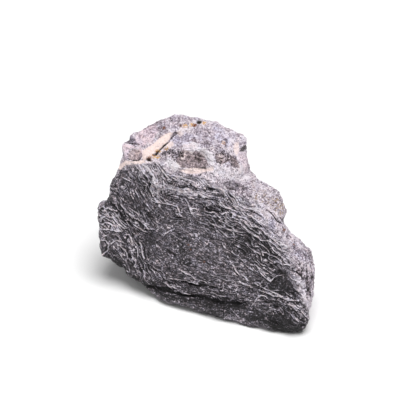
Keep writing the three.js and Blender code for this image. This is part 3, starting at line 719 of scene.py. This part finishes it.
for name, values in {
    "painted_relief_shading_fine": proud[0] * 0.35 + 0.5, "painted_relief_shading_broad": proud[1] * 0.35 + 0.5,
    "gangue": gangue, "shoulder": shoulder, "calm": calm, "crystal": crystal, "hollow": hollow,
    "crest_high": front * nearest_crest[2], "crack_deep": front * nearest_crack[2],
    "gate_mid": lively * gate_mid, "gate_thin": lively * gate_thin * (1 - 0.6 * crinkled),
    "gate_scale": lively * gate_scale * (1 - crinkled),
    "crinkled": crinkled, "gate_crinkle": crinkle_gate,
    "steep": front * smooth(-u, 16, 32),
    "level": front * smooth(-v, -12, 2) * (1 - smooth(-u, 16, 32)),
    # darker galena and painted shade together, including the painted shade on faces that turn down
    "darker_and_painted_shade": most(dotted(1.2, *DARKER_AND_SHADED_SPOTS), masked(*SHADE_BANDS_UNDER_SHELF), painted_underside_shade),
    "tone_shift": 0.5 + 0.5 * near_side * tone_shift, "pit": most(pit, crack), "notch": notch,
    "cream": cream, "pink": pink, "brown": brown, "quiet": quiet, "smoothed": smoothed,
    "ochre": dotted(0.6, *OCHRE),
    "rust": dotted(0.8, *((1, c, r, wide, 0.8 * wide) for c, r, wide in RUST)),
}.items():
    keep(name, values)
keep("crest_far", nearest_crest[0], 0, 9)
keep("crest_near", nearest_crest[1], -9, 9)
keep("crack_far", nearest_crack[0], 0, 9)
keep("crack_near", nearest_crack[1], -9, 9)
keep("fold_mid", middling, -9, 9)
keep("fold_thin", thin, -9, 9)
keep("scale_phase", scale_phase, -999, 999)
keep("crinkle_phase", crinkle_phase, -999, 999)
keep("blue", masked(
    (1, 0.8, 1.2, [213,126, 224,129, 230,138, 228,146, 220,145, 215,136]),
    (0.9, 0.8, 1.2, [172,136, 184,131, 192,134, 190,143, 178,147, 171,142]),
    (0.9, 0.5, 0.8, [267,219, 274,219, 277,228, 272,232, 267,226]),
    (0.7, 0.8, 1.2, [290,246, 304,250, 308,260, 298,258]),
    (0.8, 0.3, 0.4, [125,143, 129,138, 131,136, 137,143]),
))
keep("chalk", masked(
    (1, 0.3, 0.9, [164,161, 170,159, 177,162, 179,168, 174,172, 167,167]),
    (0.8, 0.4, 1.1, [182,144, 190,141, 197,144, 197,151, 190,153, 184,150]),
    (1, 0.3, 0.8, [196,147, 204,148, 212,154, 215,162, 212,166, 206,160, 200,153]),
    (0.5, 0.8, 1.5, [208,166, 222,165, 240,170, 250,181, 240,182, 222,177, 208,173]),
    (0.3, 0.4, 1, [290,275, 299,276, 304,284, 304,298, 298,292, 293,284]),
    (0.5, 0.5, 1, [176,130, 184,127, 192,121, 196,119, 192,127, 182,134]),
))
keep("spotted", masked(
    (1, 0.4, 1.2, [162,152, 170,148, 182,150, 184,156, 176,159, 166,163, 158,162, 160,156]),
    (1, 0.4, 1.2, [214,152, 228,150, 231,156, 228,163, 218,166, 214,158]),
))
keep("shade", most(smoothed, facet, masked(
    (0.6, 0.5, 1.2, [184,134, 194,130, 208,131, 214,140, 208,148, 192,143, 184,141]),
    (0.45, 0.5, 1, [160,121, 172,117, 180,118, 178,124, 166,129, 158,130]),
    (0.7, 0.3, 0.5, [173,129, 177,128, 178,131, 174,132]),
    (0.5, 0.5, 1, [157,132, 165,124, 166,130, 160,135]),
    (0.6, 0.5, 0.8, [267,220, 272,219, 276,228, 272,230]),
)))
keep("speckled", masked(
    (1, 0.8, 1, [272,198, 280,197, 285,207, 284,214, 277,216, 275,206]),
    (0.7, 1.5, 1.5, [252,188, 264,190, 282,198, 286,212, 278,216, 266,206, 254,200]),
))

# ---- The finished mesh ----

TRIANGLES = 197000
dense = place_in_scene("dense", mesh)
thinner = dense.modifiers.new("thinner", "DECIMATE")
thinner.ratio = TRIANGLES / (2 * len(mesh.polygons))
thinner.use_collapse_triangulate = True
mesh = modified(dense)
for vertex in mesh.vertices:
    vertex.co.z = max(vertex.co.z, 0)
mesh.polygons.foreach_set("use_smooth", np.ones(len(mesh.polygons), bool))

stone = place_in_scene("galena_specimen_surface", mesh)
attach(stone, "root")
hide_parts("galena_specimen")

# ---- Shader building blocks ----

material = bpy.data.materials.new("galena_and_gangue")
material.use_nodes = True
tree = material.node_tree
shader = tree.nodes["Principled BSDF"]


def feed(socket, item):
    """Sets a socket to a number or a colour, or links it to another node's output."""
    if isinstance(item, (int, float)):
        socket.default_value = item
    elif isinstance(item, tuple):
        socket.default_value = (*item, 1)
    else:
        tree.links.new(item, socket)


def new(kind, **inputs):
    """A node with some of its inputs fed, an underscore standing for a space."""
    n = tree.nodes.new("ShaderNode" + kind)
    for name, item in inputs.items():
        feed(n.inputs[name.replace("_", " ")], item)
    return n


place = new("TexCoord").outputs["Object"]


def value(name):
    n = new("Attribute")
    n.attribute_name = name
    return n.outputs["Fac"]


def math_node(operation, *items):
    n = new("Math")
    n.operation = operation
    for socket, item in zip(n.inputs, items):
        feed(socket, item)
    return n.outputs["Value"]


def joined(operation, parts):
    out = parts[0]
    for part in parts[1:]:
        out = math_node(operation, out, part)
    return out


def times(*parts):
    return joined("MULTIPLY", parts)


def largest(*parts):
    return joined("MAXIMUM", parts)


def size_of(socket):
    return math_node("ABSOLUTE", socket)


def total(start, *parts):
    """start plus each socket times its gain."""
    out = start
    for socket, gain in parts:
        out = math_node("MULTIPLY_ADD", socket, gain, out)
    return out


def stretch(socket, low, high, to_low=0, to_high=1):
    """An even curve from to_low at low to to_high at high."""
    n = new("MapRange", Value=socket, From_Min=low, From_Max=high, To_Min=to_low, To_Max=to_high)
    n.interpolation_type = "SMOOTHSTEP"
    return n.outputs["Result"]


def ramp(socket, *stops):
    n = new("ValToRGB", Fac=socket)
    while len(n.color_ramp.elements) < len(stops):
        n.color_ramp.elements.new(0.5)
    for element, (position, color) in zip(n.color_ramp.elements, stops):
        element.position, element.color = position, (*color, 1)
    return n.outputs["Color"]


def mix(factor, a, b, blend="MIX"):
    """Colour a turning into colour b, or blended with it, as a factor grows."""
    n = new("Mix")
    n.data_type, n.blend_type = "RGBA", blend
    for name, kind, item in (("Factor", "VALUE", factor), ("A", "RGBA", a), ("B", "RGBA", b)):
        feed(next(s for s in n.inputs if s.name == name and s.type == kind), item)
    return next(s for s in n.outputs if s.type == "RGBA")


def tint(color, mask, hue, strength):
    """Colour multiplied by a hue under a mask."""
    return mix(times(mask, strength), color, hue, "MULTIPLY")


def texture(size_mm, detail=2, rough=0.5):
    n = new("TexNoise", Vector=place, Scale=1000 / size_mm, Detail=detail, Roughness=rough)
    return n.outputs["Fac"]


def clouds(size_mm):
    """Soft patches for a faint hue."""
    return stretch(texture(size_mm), 0.5, 0.62)


def red(color):
    return new("SeparateColor", Color=color).outputs["Red"]


def cell(size_mm, bend_mm=0):
    """A random number for each grain, the grains' edges bent by up to bend_mm."""
    where = place
    if bend_mm:
        wobble = new("TexNoise", Vector=place, Scale=1000 / size_mm).outputs["Color"]
        bent = new("VectorMath")
        bent.operation = "MULTIPLY_ADD"
        feed(bent.inputs[0], wobble)
        bent.inputs[1].default_value = (bend_mm / 1000,) * 3
        feed(bent.inputs[2], place)
        where = bent.outputs["Vector"]
    return red(new("TexVoronoi", Vector=where, Scale=1000 / size_mm).outputs["Color"])


def crystals(size_mm):
    """Little pyramids, one for each grain."""
    return new("TexVoronoi", Vector=place, Scale=1000 / size_mm).outputs["Distance"]


steep, level = value("steep"), value("level")
FLOWS = ((steep, -56), (level, -13), (total(1, (steep, -1), (level, -1)), -30))


def drawn_out(long_mm, short_mm, pattern):
    """A pattern drawn out along the shear folds, whose slope differs by part."""
    parts = []
    for share, degrees in FLOWS:
        turned = new("Mapping", Vector=place)
        turned.vector_type = "TEXTURE"
        axes = Matrix.Rotation(math.pi / 2 - TILT, 3, "X") @ Matrix.Rotation(math.radians(degrees), 3, "Z")
        turned.inputs["Rotation"].default_value = axes.to_euler()
        turned.inputs["Scale"].default_value = (long_mm / 1000, short_mm / 1000, short_mm / 1000)
        parts.append(times(pattern(turned.outputs["Vector"]), share))
    return joined("ADD", parts)


def streaks(long_mm, short_mm, detail=2):
    def pattern(where):
        return new("TexNoise", Vector=where, Scale=1, Detail=detail, Distortion=0.5).outputs["Fac"]

    return drawn_out(long_mm, short_mm, pattern)


def slivers(long_mm, short_mm):
    """A random number for each sliver that lies along the folds."""
    def pattern(where):
        return red(new("TexVoronoi", Vector=where, Scale=1).outputs["Color"])

    return drawn_out(long_mm, short_mm, pattern)


# ---- What galena and gangue share ----

gangue_here = value("gangue")
grit = texture(0.6, 2, 0.6)
jag = texture(0.9, 3, 0.65)
mottle = texture(2.4, 3)
fibre = streaks(2.6, 0.5)
sugar = cell(0.62, 0.3)


def drawn(far, reach, sharp, wobble):
    """A thin jagged line where a distance comes near 0."""
    return stretch(total(-0.5 * wobble, (far, 1), (jag, wobble)), reach, sharp)


uneven = times(stretch(texture(3.2), 0.38, 0.6, 0.6, 1), stretch(grit, 0.36, 0.54, 0.7, 1))
# painted highlight: a thin jagged pale line along each crest
crest_near, crest_far, crest_high = value("crest_near"), value("crest_far"), value("crest_high")
crest_line = times(drawn(size_of(crest_near), 1.8, 0.4, 1.4), stretch(crest_far, 2.9, 2.3))
crest_line = times(crest_line, crest_high, uneven)
# painted shadow: the dark ditch lies two half widths under the crest
beside = size_of(total(2, (crest_near, 1)))
ditch_line = times(drawn(beside, 1.1, 0.3, 1.4), stretch(crest_far, 3.6, 3), crest_high)
# painted shade: a thin dark line along each crack
crack_line = times(drawn(size_of(value("crack_near")), 1.5, 0.6, 1.2), value("crack_deep"))
crack_line = times(crack_line, stretch(value("crack_far"), 2.9, 2.3))

# ---- Galena: charcoal with a breath of violet and bright grains, with painted highlights on crests and painted glints ----

# painted highlights: thin pale lines along the crests of the folds, the edges of the scales and the
# crinkles, with painted shadow under the scales and crinkles
thread_mid = times(drawn(size_of(value("fold_mid")), 0.3, 0.06, 0.5), value("gate_mid"))
thread_thin = times(drawn(size_of(value("fold_thin")), 0.36, 0.08, 0.7), value("gate_thin"), 0.8)
scale_saw = math_node("FRACT", total(0, (value("scale_phase"), 1), (jag, 0.12)))
gate = value("gate_scale")
thread_scale = times(stretch(scale_saw, 0, 0.03), stretch(scale_saw, 0.14, 0.05), gate)
shadow_scale = times(stretch(scale_saw, 0.84, 0.97), gate)
thread = times(largest(thread_mid, thread_thin, thread_scale), uneven)
crinkle_saw = math_node("FRACT", total(0, (value("crinkle_phase"), 1), (jag, 0.3)))
gate = value("gate_crinkle")
crinkle = times(
    stretch(crinkle_saw, 0, 0.08), stretch(crinkle_saw, 0.36, 0.09), gate, uneven,
    total(1, (value("shoulder"), -0.35)),
)
crinkle_shadow = times(stretch(crinkle_saw, 0.55, 0.85), gate)
coarseness = times(total(0.5, (value("calm"), 0.2)), total(1, (value("crinkled"), -0.45)))
sliver = slivers(1.7, 0.5)
# painted light and shade in the tone: highlights on threads, crinkles and crests, glints, shadow in ditches,
# cracks and under scales and crinkles, shade on faces that turn down, and paler where the surface stands
# out; the rest is the galena's own grain and tone
tone = total(
    -1.345,
    (times(stretch(grit, 0.53, 0.66), coarseness), 0.22), (stretch(grit, 0.47, 0.32), -0.18),
    (times(stretch(sugar, 0.7, 1), coarseness), 0.42), (stretch(sugar, 0.3, 0), -0.16),
    (stretch(fibre, 0.54, 0.68), 0.3), (stretch(fibre, 0.46, 0.32), -0.26),
    (stretch(sliver, 0.68, 0.98), 0.3), (stretch(sliver, 0.32, 0.02), -0.2),
    (streaks(7, 1.3, 3), 0.3), (mottle, 0.35), (texture(7), 0.25),
    # painted glints: a few grains flash bright
    (stretch(cell(0.55), 0.92, 0.96), 0.55),
    (crinkle, 1.5), (crinkle_shadow, -0.55), (value("crinkled"), -0.05),
    (thread, 0.95), (shadow_scale, -0.4), (crest_line, 1.3), (ditch_line, -0.42), (crack_line, -0.5),
    (value("painted_relief_shading_fine"), 0.28), (value("painted_relief_shading_broad"), 0.26), (value("shoulder"), 0.38),
    (value("calm"), -0.03), (value("darker_and_painted_shade"), -0.22), (value("tone_shift"), 2),
)
dark = ramp(
    times(tone, 0.7),
    (0, (0.01, 0.009, 0.01)), (0.175, (0.045, 0.04, 0.046)), (0.35, (0.12, 0.107, 0.123)),
    (0.525, (0.32, 0.285, 0.33)), (0.7, (0.6, 0.54, 0.61)), (1, (0.98, 0.92, 0.98)),
)
dark = tint(dark, clouds(2.2), (1, 0.94, 0.91), 0.9)
dark = tint(dark, clouds(1.9), (0.92, 0.94, 1), 0.9)

# ---- Gangue: lavender grey, grain by grain, with paler veins ----

hair = stretch(size_of(math_node("SUBTRACT", texture(2.6, 3), 0.5)), 0.022, 0)
chip, flake = cell(0.95, 0.5), cell(0.5)
even_parts = largest(value("cream"), value("hollow"), value("brown"), times(value("quiet"), 0.6))
rugged = stretch(even_parts, 1, 0, 0.4, 1)
grainy = total(
    0, (stretch(grit, 0.53, 0.68), 0.24), (stretch(grit, 0.47, 0.32), -0.3),
    (stretch(fibre, 0.46, 0.32), -0.24), (chip, 0.3), (stretch(chip, 0.8, 0.9), 0.26),
    (stretch(chip, 0.12, 0.06), -0.16), (stretch(flake, 0.84, 0.94), 0.4),
    (stretch(flake, 0.1, 0.05), -0.3),
)
# painted light and shade in the tone: paler where the surface stands out, darker in the cracks and on faces
# that turn down, and the hollows darker as painted shade; the rest is the gangue's own tone
tone = total(
    -1.03,
    (times(grainy, rugged), 1), (texture(4.5, 3), 0.3), (cell(2.2, 1.6), 0.17), (mottle, 0.22),
    (hair, 0.2), (crack_line, -0.6),
    (value("painted_relief_shading_fine"), 0.34), (value("painted_relief_shading_broad"), 0.2), (value("crystal"), 0.1),
    (value("hollow"), -0.265), (value("chalk"), 0.4), (value("shade"), -0.24), (value("brown"), -0.1),
    (value("cream"), 0.22), (value("quiet"), -0.01), (value("pink"), 0.16), (value("darker_and_painted_shade"), -0.15),
    (times(value("spotted"), stretch(sugar, 0.6, 0.5)), -0.4), (value("tone_shift"), 2),
)
light = ramp(
    tone,
    (0, (0.02, 0.017, 0.017)), (0.2, (0.09, 0.077, 0.084)), (0.45, (0.27, 0.222, 0.263)),
    (0.65, (0.49, 0.41, 0.48)), (1, (0.95, 0.87, 0.94)),
)
light = tint(light, clouds(3), (1, 0.955, 0.93), 0.8)
light = tint(light, clouds(3.7), (0.93, 0.955, 1), 0.8)
light = mix(times(value("smoothed"), 0.35), light, (0.13, 0.12, 0.14))
light = mix(times(value("chalk"), 0.3), light, (0.82, 0.82, 0.83))
light = tint(light, value("pink"), (1, 0.89, 0.9), 0.8)
light = tint(light, value("blue"), (0.86, 0.9, 1), 0.7)
light = mix(times(value("cream"), stretch(grit, 0.34, 0.54, 0.5, 0.93)), light, (1, 0.8, 0.735))
light = tint(light, value("brown"), (0.98, 0.89, 0.8), 0.9)
light = tint(light, value("hollow"), (1, 0.95, 0.86), 0.9)
light = mix(times(value("speckled"), stretch(cell(0.8), 0.72, 0.8), 0.75), light, (0.5, 0.36, 0.22))
light = mix(times(value("speckled"), stretch(cell(0.65), 0.2, 0.12), 0.8), light, (0.1, 0.07, 0.06))

# ---- The whole surface ----

color = mix(gangue_here, dark, light)
color = mix(times(value("ochre"), stretch(texture(0.8), 0.35, 0.6)), color, (0.75, 0.42, 0.12))
color = mix(times(value("rust"), stretch(texture(0.7), 0.3, 0.55)), color, (0.22, 0.07, 0.02))
# painted shade: the notches, the pits and the crack through the cap are near black
color = mix(times(value("notch"), 0.8), color, (0.045, 0.038, 0.038))
color = mix(value("pit"), color, (0.02, 0.012, 0.008))
feed(shader.inputs["Base Color"], color)

feed(shader.inputs["Roughness"], total(stretch(texture(1.6), 0.3, 0.7, 0.36, 0.6), (gangue_here, 0.28)))
feed(shader.inputs["Metallic"], total(0.25, (gangue_here, -0.25)))
feed(shader.inputs["Specular IOR Level"], 0.45)

relief = total(
    times(crystals(0.85), gangue_here, rugged, 1.2),
    (grit, 0.8), (fibre, 0.9), (texture(0.35), 0.4),
    (thread, 0.9), (crest_line, 0.9), (crinkle, 0.9), (crack_line, -0.8),
)
bump = new("Bump", Strength=1, Distance=0.0007, Height=relief)
feed(shader.inputs["Normal"], bump.outputs["Normal"])
mesh.materials.clear()
mesh.materials.append(material)

# ---- Floor and light ----

FLOOR_HALF = 4  # metres
corners = [(FLOOR_HALF * a, FLOOR_HALF * b, 0) for a, b in ((-1, -1), (1, -1), (1, 1), (-1, 1))]
floor_mesh = bpy.data.meshes.new("floor")
floor_mesh.from_pydata(corners, [], [(0, 1, 2, 3)])
floor_material = bpy.data.materials.new("floor")
floor_material.use_nodes = True
floor_shader = floor_material.node_tree.nodes["Principled BSDF"]
feed(floor_shader.inputs["Base Color"], (0.9, 0.9, 0.9))
feed(floor_shader.inputs["Roughness"], 0.9)
floor_mesh.materials.append(floor_material)
floor = place_in_scene("floor", floor_mesh)

world = bpy.data.worlds.new("studio")
world.use_nodes = True
sky = world.node_tree.nodes["Background"].inputs
feed(sky["Color"], (1, 1, 1))
feed(sky["Strength"], 0.25)
bpy.context.scene.world = world
bpy.context.scene.view_settings.view_transform = "Standard"


def soft_sun(name, toward, strength, degrees):
    """A sun that shines from a direction, as soft as its width in degrees."""
    data = bpy.data.lights.new(name, "SUN")
    data.energy, data.angle = strength, math.radians(degrees)
    lamp = place_in_scene(name, data)
    lamp.rotation_euler = Vector(toward).to_track_quat("Z", "Y").to_euler()


soft_sun("key", (0.15, -0.15, 1.0), 3.1, 45)
soft_sun("fill", (-0.7, -0.6, 0.6), 0.45, 70)
